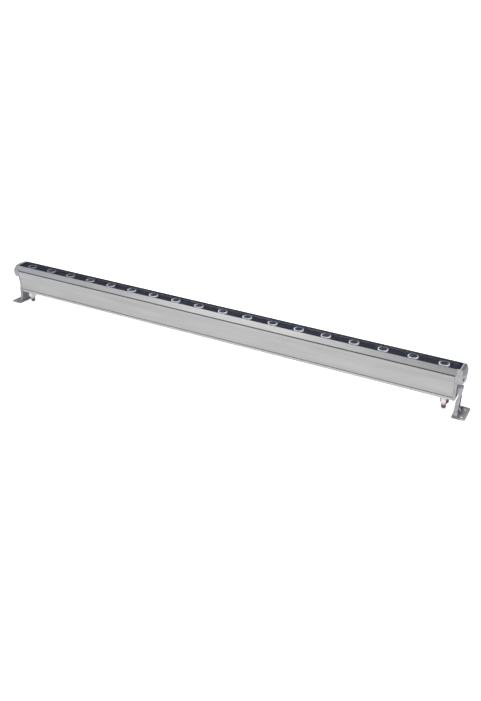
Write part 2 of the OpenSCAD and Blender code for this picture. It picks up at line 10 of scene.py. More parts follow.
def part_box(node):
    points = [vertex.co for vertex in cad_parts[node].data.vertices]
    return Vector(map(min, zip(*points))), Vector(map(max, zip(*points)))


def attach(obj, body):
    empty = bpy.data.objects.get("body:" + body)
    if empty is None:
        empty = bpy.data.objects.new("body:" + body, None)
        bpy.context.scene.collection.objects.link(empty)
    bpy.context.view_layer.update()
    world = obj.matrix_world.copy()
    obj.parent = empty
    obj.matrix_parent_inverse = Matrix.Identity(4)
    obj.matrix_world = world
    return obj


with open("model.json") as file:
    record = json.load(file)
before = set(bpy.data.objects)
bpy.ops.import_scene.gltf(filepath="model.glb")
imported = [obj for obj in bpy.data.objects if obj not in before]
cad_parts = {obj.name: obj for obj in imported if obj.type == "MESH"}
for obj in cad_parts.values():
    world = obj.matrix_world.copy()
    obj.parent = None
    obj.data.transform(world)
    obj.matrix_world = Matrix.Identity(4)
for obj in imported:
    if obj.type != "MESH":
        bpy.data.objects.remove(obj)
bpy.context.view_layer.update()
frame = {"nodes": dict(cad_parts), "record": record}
nodes = frame["nodes"]
endSides = {"left": -1, "right": 1}  # which way each end lies along X
print("frame loaded,", len(nodes), "nodes")


def addNode(tree, kind, **settings):
    node = tree.nodes.new(kind)
    for name, value in settings.items():
        setattr(node, name, value)
    return node


# Links a socket, or fills it where the value is a plain one
def setInput(tree, socket, value):
    if isinstance(value, bpy.types.NodeSocket):
        tree.links.new(value, socket)
    else:
        socket.default_value = value


def mathNode(tree, operation, first, second=0.0, clamp=False):
    node = addNode(tree, "ShaderNodeMath", operation=operation, use_clamp=clamp)
    setInput(tree, node.inputs[0], first)
    setInput(tree, node.inputs[1], second)
    return node.outputs[0]


def times(tree, first, second, clamp=False):
    return mathNode(tree, "MULTIPLY", first, second, clamp)


def larger(tree, first, second):
    return mathNode(tree, "MAXIMUM", first, second)


def without(tree, mask):
    return mathNode(tree, "SUBTRACT", 1.0, mask)


def sizeOf(tree, value):
    return mathNode(tree, "ABSOLUTE", value)


def above(tree, value, limit):
    return mathNode(tree, "GREATER_THAN", value, limit)


def below(tree, value, limit):
    return mathNode(tree, "LESS_THAN", value, limit)


def between(tree, value, limits):
    low, high = limits
    return times(tree, above(tree, value, low), below(tree, value, high))


def spread(tree, value, low, high, outLow=0.0, outHigh=1.0):
    node = addNode(tree, "ShaderNodeMapRange", clamp=True)
    for index, number in enumerate([value, low, high, outLow, outHigh]):
        setInput(tree, node.inputs[index], number)
    return node.outputs[0]


def mixColour(tree, factor, first, second):
    node = addNode(tree, "ShaderNodeMix", data_type="RGBA")
    setInput(tree, node.inputs["Factor"], factor)
    setInput(tree, node.inputs[6], first)  # 6, 7 and 2 are the colour sockets of this node
    setInput(tree, node.inputs[7], second)
    return node.outputs[2]


# Lays a paint over a colour, as strong as a mask times a share of it
def layPaint(tree, colour, paint, mask, share):
    return mixColour(tree, times(tree, mask, share), colour, paint)


def splitVector(tree, vector):
    parts = addNode(tree, "ShaderNodeSeparateXYZ")
    setInput(tree, parts.inputs[0], vector)
    return parts.outputs


def objectPlace(tree):
    return splitVector(tree, addNode(tree, "ShaderNodeTexCoord").outputs["Object"])


def surfaceFacing(tree):
    return splitVector(tree, addNode(tree, "ShaderNodeNewGeometry").outputs["Normal"])


def stretchedCoords(tree, along=1.0, across=1.0):
    coords = addNode(tree, "ShaderNodeTexCoord").outputs["Object"]
    sizes = addNode(tree, "ShaderNodeCombineXYZ")
    for index, number in enumerate([along, across, across]):
        setInput(tree, sizes.inputs[index], number)
    product = addNode(tree, "ShaderNodeVectorMath", operation="MULTIPLY")
    setInput(tree, product.inputs[0], coords)
    setInput(tree, product.inputs[1], sizes.outputs[0])
    return product.outputs[0]


def noise(tree, vector, scale, detail=2.0, roughness=0.5):
    node = addNode(tree, "ShaderNodeTexNoise")
    wanted = {"Vector": vector, "Scale": scale, "Detail": detail, "Roughness": roughness}
    for label, value in wanted.items():
        setInput(tree, node.inputs[label], value)
    return node.outputs[0]


def startGroup(name, inputs, outputs):
    tree = bpy.data.node_groups.new(name, "ShaderNodeTree")
    for label, value in inputs.items():
        socket = tree.interface.new_socket(label, in_out="INPUT", socket_type="NodeSocketFloat")
        socket.default_value = value
    for label, kind in outputs.items():
        tree.interface.new_socket(label, in_out="OUTPUT", socket_type="NodeSocket" + kind)
    given = addNode(tree, "NodeGroupInput").outputs
    wanted = addNode(tree, "NodeGroupOutput").inputs
    return tree, given, wanted


# Lengthwise drawing and brushing lines of an anodised extrusion
brushedGrain = {"inputs": {"Along": 1.5, "Across": 900.0, "Patches": 6.0}, "mask": (0.3, 0.7),
                "lines": {"scale": 1.0, "detail": 3.0, "roughness": 0.6}, "clouds": {"scale": 9.0}}


def makeBrushedGrain():
    tree, given, wanted = startGroup("brushedGrain", brushedGrain["inputs"],
                                     {"Streak": "Float", "Cloud": "Float"})
    lines = noise(tree, stretchedCoords(tree, given["Along"], given["Across"]), **brushedGrain["lines"])
    wide = noise(tree, stretchedCoords(tree, given["Along"], given["Patches"]), **brushedGrain["clouds"])
    setInput(tree, wanted["Streak"], spread(tree, lines, *brushedGrain["mask"]))
    setInput(tree, wanted["Cloud"], spread(tree, wide, *brushedGrain["mask"]))
    return tree


# Fine orange peel and mottling of a coated casting
castSkin = {"inputs": {"Grain": 900.0, "Mottle": 60.0}, "mask": (0.3, 0.7),
            "peel": {"detail": 3.0, "roughness": 0.55}, "mottling": {"detail": 3.0, "roughness": 0.6}}


def makeCastSkin():
    tree, given, wanted = startGroup("castSkin", castSkin["inputs"], {"Height": "Float", "Mottling": "Float"})
    even = stretchedCoords(tree)
    setInput(tree, wanted["Height"], noise(tree, even, given["Grain"], **castSkin["peel"]))
    wide = noise(tree, even, given["Mottle"], **castSkin["mottling"])
    setInput(tree, wanted["Mottling"], spread(tree, wide, *castSkin["mask"]))
    return tree


# Paler line along outer edges, partly edge wear and partly a painted highlight, and the rounded normal that
# softens them
edgeWearAndHighlight = {"inputs": {"Radius": 0.0005, "Breakup": 300.0}, "samples": 4, "bent": (0.995, 0.86),
           "mask": (0.35, 0.6), "least": 0.35}


def makeEdgeRub():
    tree, given, wanted = startGroup("edgeWearAndHighlight", edgeWearAndHighlight["inputs"], {"Mask": "Float", "Rounded": "Vector"})
    bevel = addNode(tree, "ShaderNodeBevel", samples=edgeWearAndHighlight["samples"])
    setInput(tree, bevel.inputs["Radius"], given["Radius"])
    flat = addNode(tree, "ShaderNodeNewGeometry").outputs["Normal"]
    facing = addNode(tree, "ShaderNodeVectorMath", operation="DOT_PRODUCT")
    setInput(tree, facing.inputs[0], bevel.outputs[0])
    setInput(tree, facing.inputs[1], flat)
    bent = spread(tree, facing.outputs["Value"], *edgeWearAndHighlight["bent"])
    broken = spread(tree, noise(tree, stretchedCoords(tree), given["Breakup"]), *edgeWearAndHighlight["mask"],
                    edgeWearAndHighlight["least"], 1.0)
    setInput(tree, wanted["Mask"], times(tree, bent, broken))
    setInput(tree, wanted["Rounded"], bevel.outputs[0])
    return tree


# Thin dust that settles on what faces up
dustFilm = {"inputs": {"Amount": 0.2, "Specks": 700.0}, "colour": (0.55, 0.53, 0.49, 1),
            "upward": (0.1, 0.95), "patches": {"scale": 35.0, "detail": 3.0}, "patchMask": (0.35, 0.7),
            "speckDetail": 1.0, "speckMask": (0.45, 0.75), "speckLeast": 0.4}


def makeDustFilm():
    tree, given, wanted = startGroup("dustFilm", dustFilm["inputs"], {"Dust": "Float"})
    upward = spread(tree, surfaceFacing(tree)["Z"], *dustFilm["upward"])
    even = stretchedCoords(tree)
    patches = spread(tree, noise(tree, even, **dustFilm["patches"]), *dustFilm["patchMask"])
    specks = spread(tree, noise(tree, even, given["Specks"], dustFilm["speckDetail"]), *dustFilm["speckMask"],
                    dustFilm["speckLeast"], 1.0)
    settled = times(tree, times(tree, patches, specks), upward)
    setInput(tree, wanted["Dust"], times(tree, settled, given["Amount"], clamp=True))
    return tree


# Painted shade: grooves, gaps and inner corners darkened by ambient occlusion
creviceShade = {"inputs": {"Reach": 0.002, "Amount": 0.8}, "samples": 8, "hidden": (0.45, 0.80)}


def makeCreviceShade():
    tree, given, wanted = startGroup("creviceShade", creviceShade["inputs"], {"Mask": "Float"})
    shade = addNode(tree, "ShaderNodeAmbientOcclusion", samples=creviceShade["samples"], only_local=True)
    setInput(tree, shade.inputs["Distance"], given["Reach"])
    hidden = spread(tree, shade.outputs["AO"], *creviceShade["hidden"], 1.0, 0.0)
    setInput(tree, wanted["Mask"], times(tree, hidden, given["Amount"], clamp=True))
    return tree


groups = {"brushedGrain": makeBrushedGrain(), "castSkin": makeCastSkin(), "edgeWearAndHighlight": makeEdgeRub(),
          "dustFilm": makeDustFilm(), "creviceShade": makeCreviceShade()}
print("shared effects built:", ", ".join(groups))


def placeGroup(tree, name, values):
    node = addNode(tree, "ShaderNodeGroup", node_tree=groups[name])
    for label, value in values.items():
        setInput(tree, node.inputs[label], value)
    return node.outputs


def startMaterial(name, plain):
    material = bpy.data.materials.new(name)
    material.use_nodes = True
    tree = material.node_tree
    shader = tree.nodes["Principled BSDF"]
    for label, value in plain.items():
        shader.inputs[label].default_value = value
    return material, tree, shader


def raiseBump(tree, shader, height, bumpSize, normal):
    bump = addNode(tree, "ShaderNodeBump")
    for label, value in {**bumpSize, "Height": height, "Normal": normal}.items():
        setInput(tree, bump.inputs[label], value)
    setInput(tree, shader.inputs["Normal"], bump.outputs[0])


def grey(value):
    return (value, value, value, 1.0)


# Extruded housing: satin silver anodising over lengthwise brushing
anodised = {"base": (0.545, 0.532, 0.522, 1), "streak": (0.63, 0.625, 0.62, 1), "streakShare": 0.45,
            "shade": (0.46, 0.46, 0.468, 1), "wearAndHighlight": (0.82, 0.82, 0.83, 1), "wearAndHighlightShare": 0.6,
            "metal": 0.85, "rough": (0.30, 0.42), "brushing": 0.5,
            "grain": {"Along": 1.2, "Across": 1400.0, "Patches": 8.0},
            "bump": {"Strength": 0.12, "Distance": 0.0001},
            "edges": {"Radius": 0.0004, "Breakup": 260.0},
            "dust": {"Amount": 0.12, "Specks": 900.0},
            "crevices": {"Reach": 0.004, "Amount": 1.0},
            "groove": (0.02, 0.021, 0.025, 1), "grooveShadeLine": 0.0792, "grooveShadeReach": (0.0010, 0.0018),
            "grooveShadeShare": 0.45,
            "sealant": (0.012, 0.0125, 0.018, 1), "rimTop": (0.08955, 0.08975),
            "backRimHighlightReach": (0.05, 0.35), "backRimHighlightShare": 0.85,
            "chamfer": 0.0802, "band": (0.064, 0.0785), "bandShare": 0.6,
            "leftEndReflection": (0.62, 0.64, 0.68, 1), "leftEndReflectionReach": (-0.47, -0.25), "leftEndReflectionShare": 0.6,
            "rightEndShade": (0.38, 0.38, 0.39, 1), "rightEndShadeReach": (0.28, 0.46), "rightEndShadeShare": 0.45,
            "flange": 0.0335, "flangeShare": 0.4}


def makeAnodised():
    material, tree, shader = startMaterial("brushedAnodising", {"Anisotropic": anodised["brushing"]})
    grain = placeGroup(tree, "brushedGrain", anodised["grain"])
    wearAndHighlight = placeGroup(tree, "edgeWearAndHighlight", anodised["edges"])
    dust = placeGroup(tree, "dustFilm", anodised["dust"])
    crevice = placeGroup(tree, "creviceShade", anodised["crevices"])
    place = objectPlace(tree)
    colour = mixColour(tree, grain["Cloud"], anodised["shade"], anodised["base"])
    colour = layPaint(tree, colour, anodised["streak"], grain["Streak"], anodised["streakShare"])
    colour = layPaint(tree, colour, anodised["wearAndHighlight"], wearAndHighlight["Mask"], anodised["wearAndHighlightShare"])
    colour = mixColour(tree, dust["Dust"], colour, dustFilm["colour"])

    # Painted reflection and shade: the sloping faces are painted a paler bluish grey at the left end and a
    # darker grey at the right one
    band = times(tree, between(tree, place["Z"], anodised["band"]), anodised["bandShare"])
    sloping = larger(tree, above(tree, place["Z"], anodised["chamfer"]), band)
    leftEndReflection = spread(tree, place["X"], *anodised["leftEndReflectionReach"], anodised["leftEndReflectionShare"], 0.0)
    colour = layPaint(tree, colour, anodised["leftEndReflection"], leftEndReflection, sloping)
    rightEndShade = spread(tree, place["X"], *anodised["rightEndShadeReach"], 0.0, anodised["rightEndShadeShare"])
    colour = layPaint(tree, colour, anodised["rightEndShade"], rightEndShade, sloping)
    flange = below(tree, place["Z"], anodised["flange"])  # the upright foot of the section, painted paler as painted light
    colour = layPaint(tree, colour, anodised["wearAndHighlight"], flange, anodised["flangeShare"])

    # Painted shade: a dark line along the shoulder groove, and grooves and corners darkened by the crevice
    # mask
    offLine = sizeOf(tree, mathNode(tree, "SUBTRACT", place["Z"], anodised["grooveShadeLine"]))
    grooveShade = spread(tree, offLine, *anodised["grooveShadeReach"], anodised["grooveShadeShare"], 0.0)  # by the shoulder groove
    colour = mixColour(tree, grooveShade, colour, anodised["groove"])
    colour = mixColour(tree, crevice["Mask"], colour, anodised["groove"])

    # Black sealant is smeared over the two rims; toward the right the back one is painted pale instead, a
    # painted highlight
    smear = spread(tree, place["Z"], *anodised["rimTop"])
    rimHighlightTowardRight = spread(tree, place["X"], *anodised["backRimHighlightReach"], 0.0, anodised["backRimHighlightShare"])
    backRimHighlight = times(tree, above(tree, place["Y"], 0.0), rimHighlightTowardRight)
    colour = mixColour(tree, smear, colour, mixColour(tree, backRimHighlight, anodised["sealant"], anodised["wearAndHighlight"]))

    setInput(tree, shader.inputs["Base Color"], colour)
    setInput(tree, shader.inputs["Metallic"], spread(tree, smear, 0.0, 1.0, anodised["metal"], 0.0))
    setInput(tree, shader.inputs["Roughness"], spread(tree, grain["Streak"], 0.0, 1.0, *anodised["rough"]))
    raiseBump(tree, shader, grain["Streak"], anodised["bump"], wearAndHighlight["Rounded"])
    return material


# End caps and brackets: die castings under a fine silver coat
castCoat = {"base": (0.53, 0.53, 0.545, 1), "shade": (0.40, 0.405, 0.42, 1), "wearAndHighlight": (0.86, 0.86, 0.88, 1),
            "wearAndHighlightShare": 0.9, "metal": 0.45, "rough": (0.34, 0.48),
            "skin": {"Grain": 1500.0, "Mottle": 70.0},
            "bump": {"Strength": 0.25, "Distance": 0.0002},
            "edges": {"Radius": 0.0009, "Breakup": 380.0},
            "dust": {"Amount": 0.18, "Specks": 800.0},
            "hollows": {"Reach": 0.035, "Amount": 0.7}, "hollowShade": (0.08, 0.08, 0.09, 1),
            "rimInner": 0.4933, "rimHeight": 0.0898, "rimMetal": 0.05,
            "bevelShade": (0.36, 0.36, 0.375, 1), "bevelShadeHeight": (0.0785, 0.083), "bevelShadeFront": (0.35, 0.75),
            "bevelShadeTurn": (-0.1, 0.1), "bevelShadeShares": (0.3, 0.85),
            "facingReach": (0.3, 0.8), "armTop": (0.030, 0.042), "filletTop": 0.006,
            "armFaceLight": (0.97, 0.97, 0.98, 1),
            "paintedShade": (0.22, 0.22, 0.23, 1), "insideShare": 0.6, "leftArmShade": (-0.49, -0.475), "leftArmShadeShare": 0.5,
            "footShadeHeight": 0.0035, "footShadeReach": (0.501, 0.5075), "footShadeShare": 0.75,
            "footOuterReach": (0.503, 0.513), "footTop": (0.0035, 0.006), "footShare": 0.55,
            "kneeUp": (0.6, 0.9), "kneeBand": (0.030, 0.060)}


def makeCastSilver():
    material, tree, shader = startMaterial("castSilverCoat", {})
    skin = placeGroup(tree, "castSkin", castCoat["skin"])
    wearAndHighlight = placeGroup(tree, "edgeWearAndHighlight", castCoat["edges"])
    dust = placeGroup(tree, "dustFilm", castCoat["dust"])
    crevice = placeGroup(tree, "creviceShade", castCoat["hollows"])
    place = objectPlace(tree)
    facing = surfaceFacing(tree)
    fromMiddle = sizeOf(tree, place["X"])
    outward = times(tree, facing["X"], mathNode(tree, "SIGN", place["X"]))
    colour = mixColour(tree, skin["Mottling"], castCoat["shade"], castCoat["base"])
    colour = layPaint(tree, colour, castCoat["wearAndHighlight"], wearAndHighlight["Mask"], castCoat["wearAndHighlightShare"])
    colour = mixColour(tree, dust["Dust"], colour, dustFilm["colour"])

    # Painted shade and light: hollows are darkened by the crevice mask, except on the outer faces of the arms
    # between fillet and knuckle, which are painted pale instead
    offOuterArmFace = larger(tree, spread(tree, outward, *castCoat["facingReach"], 1.0, 0.0),
                       spread(tree, place["Z"], *castCoat["armTop"]))
    offOuterArmFace = larger(tree, offOuterArmFace, below(tree, place["Z"], castCoat["filletTop"]))
    colour = layPaint(tree, colour, castCoat["hollowShade"], crevice["Mask"], offOuterArmFace)

    # Painted shade: the bevel of each cap is painted darker, more at the right
    inner = below(tree, fromMiddle, castCoat["rimInner"])
    crown = spread(tree, place["Z"], *castCoat["bevelShadeHeight"])
    notFront = spread(tree, sizeOf(tree, facing["Y"]), *castCoat["bevelShadeFront"], 1.0, 0.0)
    bevelShade = times(tree, times(tree, crown, without(tree, inner)), notFront)
    bevelShade = times(tree, bevelShade, spread(tree, place["X"], *castCoat["bevelShadeTurn"], *castCoat["bevelShadeShares"]))
    colour = mixColour(tree, bevelShade, colour, castCoat["bevelShade"])

    # Painted shade: the inner faces of the arms are painted darker, and all of the left arm as well
    inward = spread(tree, times(tree, outward, -1.0), *castCoat["facingReach"])
    leftArmShade = spread(tree, place["X"], *castCoat["leftArmShade"], castCoat["leftArmShadeShare"], 0.0)
    leftArmShade = times(tree, leftArmShade, above(tree, place["Z"], castCoat["filletTop"]))
    armHeight = spread(tree, place["Z"], *castCoat["armTop"], castCoat["insideShare"], 0.0)
    colour = layPaint(tree, colour, castCoat["paintedShade"], larger(tree, inward, leftArmShade), armHeight)

    # Feet: painted shade beside the right arm, and paler toward the outer end of each foot
    footShade = spread(tree, fromMiddle, *castCoat["footShadeReach"], castCoat["footShadeShare"], 0.0)
    footShade = times(tree, below(tree, place["Z"], castCoat["footShadeHeight"]), footShade)
    colour = layPaint(tree, colour, castCoat["paintedShade"], footShade, above(tree, place["X"], 0.0))
    outside = spread(tree, fromMiddle, *castCoat["footOuterReach"])
    footHeight = spread(tree, place["Z"], *castCoat["footTop"], castCoat["footShare"], 0.0)
    colour = layPaint(tree, colour, castCoat["wearAndHighlight"], outside, footHeight)

    # Painted light: the knuckles are painted paler on top
    colour = layPaint(tree, colour, castCoat["wearAndHighlight"], between(tree, place["Z"], castCoat["kneeBand"]),
                      spread(tree, facing["Z"], *castCoat["kneeUp"]))
    # Painted light: the outer faces of the arms are painted near white
    colour = mixColour(tree, without(tree, offOuterArmFace), colour, castCoat["armFaceLight"])
    capRimHighlight = times(tree, inner, above(tree, place["Z"], castCoat["rimHeight"]))  # painted highlight on the rim beside the glass
    colour = mixColour(tree, capRimHighlight, colour, castCoat["wearAndHighlight"])

    setInput(tree, shader.inputs["Base Color"], colour)
    setInput(tree, shader.inputs["Metallic"],
             spread(tree, capRimHighlight, 0.0, 1.0, castCoat["metal"], castCoat["rimMetal"]))
    setInput(tree, shader.inputs["Roughness"], spread(tree, skin["Mottling"], 0.0, 1.0, *castCoat["rough"]))
    raiseBump(tree, shader, skin["Height"], castCoat["bump"], wearAndHighlight["Rounded"])
    return material


# Cover glass: clear toughened glass, seen dark because the chamber under it is black
coverGlass = {"tint": (0.93, 0.95, 1.0, 1), "film": (0.74, 0.78, 0.86, 1), "filmFull": 0.35, "ior": 1.5,
              "rough": (0.02, 0.10), "dust": {"Amount": 0.18, "Specks": 600.0}, "shadowAlpha": 0.1}


def makeCoverGlass():
    plain = {"Transmission Weight": 1.0, "IOR": coverGlass["ior"]}
    material, tree, shader = startMaterial("coverGlass", plain)
    dust = placeGroup(tree, "dustFilm", coverGlass["dust"])
    colour = mixColour(tree, dust["Dust"], coverGlass["tint"], coverGlass["film"])
    setInput(tree, shader.inputs["Base Color"], colour)
    rough = spread(tree, dust["Dust"], 0.0, coverGlass["filmFull"], *coverGlass["rough"])
    setInput(tree, shader.inputs["Roughness"], rough)
    path = addNode(tree, "ShaderNodeLightPath").outputs  # lets the studio's light reach the holders below
    passing = larger(tree, path["Is Shadow Ray"], path["Is Diffuse Ray"])
    setInput(tree, shader.inputs["Alpha"], spread(tree, passing, 0.0, 1.0, 1.0, coverGlass["shadowAlpha"]))
    return material


# Moulded, plated and other small finishes: mottled colour, fine grain, a little dust
mouldedPlain = {"metal": 0.0, "ior": 1.5, "glint": 0.0, "coat": 0.0, "alpha": 1.0, "mottle": 90.0,
                "radius": 0.0003, "breakup": 420.0, "wearAndHighlightShare": 0.4, "dust": 0.15, "specks": 900.0,
                "bump": 0.15, "bumpDepth": 0.0002}

mouldedLooks = {
    "seal_rubber": {"base": (0.022, 0.024, 0.038, 1), "shade": (0.015, 0.017, 0.027, 1), "wearAndHighlight": grey(0.03),
                    "rough": (0.6, 0.8), "grain": 2200.0, "dust": 0.03},
    "sleeve_rubber": {"base": (0.23, 0.22, 0.27, 1), "shade": (0.17, 0.162, 0.195, 1),
                      "wearAndHighlight": (0.21, 0.20, 0.235, 1), "rough": (0.45, 0.62), "grain": 2600.0,
                      "radius": 0.0006},
    "black_tray": {"base": (0.007, 0.007, 0.013, 1), "shade": (0.004, 0.004, 0.008, 1),
                   "wearAndHighlight": (0.03, 0.032, 0.045, 1), "rough": (0.5, 0.7), "grain": 2800.0, "bump": 0.3,
                   "dust": 0.01},
    "bright_holder": {"base": (0.92, 0.93, 0.94, 1), "shade": (0.84, 0.85, 0.88, 1),
                      "wearAndHighlight": (0.98, 0.98, 1.0, 1), "rough": (0.35, 0.5), "grain": 1800.0, "glint": 0.5,
                      "dust": 0.02, "fade": {"across": (0.007, -0.002), "along": (-0.46, -0.12),
                                             "least": 0.25, "dim": (0.24, 0.245, 0.27, 1)}},
    # clear_lens: the clear lens is painted dark grey, a painted shade for the darkness seen through it
    "clear_lens": {"base": (0.085, 0.088, 0.10, 1), "shade": (0.05, 0.052, 0.06, 1),
                   "wearAndHighlight": (0.32, 0.35, 0.4, 1), "rough": (0.06, 0.12), "grain": 700.0, "alpha": 0.72,
                   "coat": 0.6, "bump": 0.05, "dust": 0.02},
    "white_board": {"base": (0.74, 0.76, 0.73, 1), "shade": (0.66, 0.68, 0.66, 1), "wearAndHighlight": grey(0.85),
                    "rough": (0.35, 0.5), "grain": 1500.0},
    "emitter_resin": {"base": (0.86, 0.66, 0.16, 1), "shade": (0.74, 0.52, 0.10, 1),
                      "wearAndHighlight": (0.95, 0.85, 0.4, 1), "rough": (0.2, 0.35), "grain": 2400.0, "coat": 0.5},
    "steel_fasteners": {"base": (0.66, 0.66, 0.67, 1), "shade": (0.54, 0.54, 0.56, 1), "wearAndHighlight": grey(0.85),
                        "rough": (0.22, 0.34), "grain": 1900.0, "metal": 1.0, "radius": 0.00025},
    "plated_brass": {"base": (0.95, 0.86, 0.81, 1), "shade": (0.84, 0.745, 0.695, 1),
                     "wearAndHighlight": (0.95, 0.86, 0.78, 1), "rough": (0.12, 0.22), "grain": 1700.0, "metal": 1.0},
    "driver_case": {"base": (0.05, 0.052, 0.056, 1), "shade": (0.035, 0.036, 0.04, 1), "wearAndHighlight": grey(0.12),
                    "rough": (0.4, 0.6), "grain": 1300.0, "bump": 0.3},
    "terminal_plastic": {"base": (0.74, 0.75, 0.68, 1), "shade": (0.66, 0.66, 0.58, 1), "wearAndHighlight": grey(0.8),
                         "rough": (0.35, 0.5), "grain": 1600.0},
    "wire_sleeve": {"base": (0.32, 0.05, 0.035, 1), "shade": (0.24, 0.035, 0.025, 1),
                    "wearAndHighlight": (0.4, 0.12, 0.1, 1), "rough": (0.35, 0.5), "grain": 1900.0},
}


def makeMoulded(name, changes):
    look = {**mouldedPlain, **changes}
    # The glint is emission: a painted glow on parts that are no lamp
    plain = {"Metallic": look["metal"], "IOR": look["ior"], "Emission Color": grey(1.0),
             "Emission Strength": look["glint"], "Coat Weight": look["coat"], "Alpha": look["alpha"]}
    material, tree, shader = startMaterial(name, plain)
    skin = placeGroup(tree, "castSkin", {"Grain": look["grain"], "Mottle": look["mottle"]})
    wearAndHighlight = placeGroup(tree, "edgeWearAndHighlight", {"Radius": look["radius"], "Breakup": look["breakup"]})
    dust = placeGroup(tree, "dustFilm", {"Amount": look["dust"], "Specks": look["specks"]})
    colour = mixColour(tree, skin["Mottling"], look["shade"], look["base"])
    colour = layPaint(tree, colour, look["wearAndHighlight"], wearAndHighlight["Mask"], look["wearAndHighlightShare"])
    colour = mixColour(tree, dust["Dust"], colour, dustFilm["colour"])
    if "fade" in look:  # painted light: the holders glow and are paler at the front and the right end, dimmer toward the back and the left end
        fade = look["fade"]
        place = objectPlace(tree)
        bright = times(tree, spread(tree, place["Y"], *fade["across"]),
                       spread(tree, place["X"], *fade["along"], fade["least"], 1.0))
        colour = mixColour(tree, bright, fade["dim"], colour)
        setInput(tree, shader.inputs["Emission Color"], mixColour(tree, bright, grey(0.0), grey(1.0)))
    setInput(tree, shader.inputs["Base Color"], colour)
    setInput(tree, shader.inputs["Roughness"], spread(tree, skin["Mottling"], 0.0, 1.0, *look["rough"]))
    bumpSize = {"Strength": look["bump"], "Distance": look["bumpDepth"]}
    raiseBump(tree, shader, skin["Height"], bumpSize, wearAndHighlight["Rounded"])
    return material


finishes = {"brushed_aluminium": makeAnodised(), "cast_silver": makeCastSilver(),
            "cover_glass": makeCoverGlass()}
for slotName, look in mouldedLooks.items():
    finishes[slotName] = makeMoulded(slotName, look)

slotOf = {row["node"]: row["material_slot"] for row in frame["record"]["subparts"]}
for nodeName, slotName in slotOf.items():
    nodes[nodeName].data.materials.clear()
    nodes[nodeName].data.materials.append(finishes[slotName])
print("finishes placed on", len(slotOf), "nodes")


# Sweeps a round section along a path whose every step lies square to the flat direction
def sweepTube(mesh, path, flat, radius, sides, closed=True):
    rings = []
    for index, point in enumerate(path):
        before = path[index - 1] if closed or index else point
        after = path[(index + 1) % len(path)] if closed or index + 1 < len(path) else point
        outward = (after - before).normalized().cross(flat).normalized()
        rings.append([mesh.verts.new(point + radius * (math.cos(turn) * outward + math.sin(turn) * flat))
                      for turn in (2 * math.pi * side / sides for side in range(sides))])
    for index in range(len(rings) if closed else len(rings) - 1):
        first, second = rings[index], rings[(index + 1) % len(rings)]
        for side in range(sides):
            following = (side + 1) % sides
            mesh.faces.new((first[side], first[following], second[following], second[side]))
    if not closed:
        mesh.faces.new(rings[0])
        mesh.faces.new(rings[-1])


def circlePath(middle, radius, steps):
    turns = [2 * math.pi * step / steps for step in range(steps)]
    return [middle + radius * Vector((math.cos(turn), math.sin(turn), 0)) for turn in turns]


def finishPiece(name, mesh, slotName, body):
    bmesh.ops.recalc_face_normals(mesh, faces=mesh.faces)
    for face in mesh.faces:
        face.smooth = True
    data = bpy.data.meshes.new(name)
    mesh.to_mesh(data)
    mesh.free()
    piece = bpy.data.objects.new(name, data)
    bpy.context.scene.collection.objects.link(piece)
    data.materials.append(finishes[slotName])
    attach(piece, body)


up = Vector((0, 0, 1))

# Silicone bead that closes the gap round the cover glass
glassBead = {"halfLength": 0.49155, "halfWidth": 0.01405, "height": 0.0894, "radius": 0.0004, "sides": 10,
             "corner": 0.0012, "cornerSteps": 6}


def makeGlassBead():
    mesh = bmesh.new()
    corner, steps = glassBead["corner"], glassBead["cornerSteps"]
    path = []
    for quarter, (signX, signY) in enumerate([(1, 1), (-1, 1), (-1, -1), (1, -1)]):
        middle = Vector((signX * (glassBead["halfLength"] - corner),
                         signY * (glassBead["halfWidth"] - corner), glassBead["height"]))
        for step in range(steps + 1):
            turn = math.pi / 2 * (quarter + step / steps)
            path.append(middle + corner * Vector((math.cos(turn), math.sin(turn), 0)))
    sweepTube(mesh, path, up, glassBead["radius"], glassBead["sides"])
    finishPiece("glass_bead", mesh, "seal_rubber", "light")


# Concentric ridges moulded in the front of each lens
lensRidge = {"radii": (0.0060, 0.0043, 0.0026), "radius": 0.00016, "sink": 0.0002, "crown": 0.0006,
             "steps": 32, "sides": 6}


def makeLensRidges():
    mesh = bmesh.new()
    for nodeName in nodes:
        if nodeName.removeprefix("lens_").isdigit():  # lens_01 and on, not the tray and the holders
            low, high = (Vector(corner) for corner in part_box(nodeName))
            middle = (low + high) / 2
            middle.z = high.z - lensRidge["sink"]
            edge = (high.x - low.x) / 2
            for radius in lensRidge["radii"]:
                drop = lensRidge["crown"] * (radius / edge) ** 2
                path = circlePath(middle - drop * up, radius, lensRidge["steps"])
                sweepTube(mesh, path, up, lensRidge["radius"], lensRidge["sides"])
    finishPiece("lens_ridges", mesh, "clear_lens", "light")


# Grip rings round the rubber sleeve of each gland
sleeveGrip = {"place": 0.472, "heights": (0.0091, 0.0075, 0.0059), "radius": 0.004, "thickness": 0.0004,
              "steps": 40, "sides": 10}


def makeSleeveGrips():
    for end, side in endSides.items():
        mesh = bmesh.new()
        for height in sleeveGrip["heights"]:
            middle = Vector((side * sleeveGrip["place"], 0, height))
            path = circlePath(middle, sleeveGrip["radius"], sleeveGrip["steps"])
            sweepTube(mesh, path, up, sleeveGrip["thickness"], sleeveGrip["sides"])
        finishPiece("sleeve_grips_" + end, mesh, "sleeve_rubber", "light")


# Edge of each gasket, showing as a hairline between the housing and its end cap
capJoint = {"place": 0.487, "radius": 0.00014, "sides": 8, "crown": 0.09,
            "outline": ((0.0151, 0.0004), (0.021, 0.010), (0.021, 0.017), (0.018, 0.026), (0.0135, 0.055),
                        (0.01175, 0.0625))}  # half width and depth below the crown


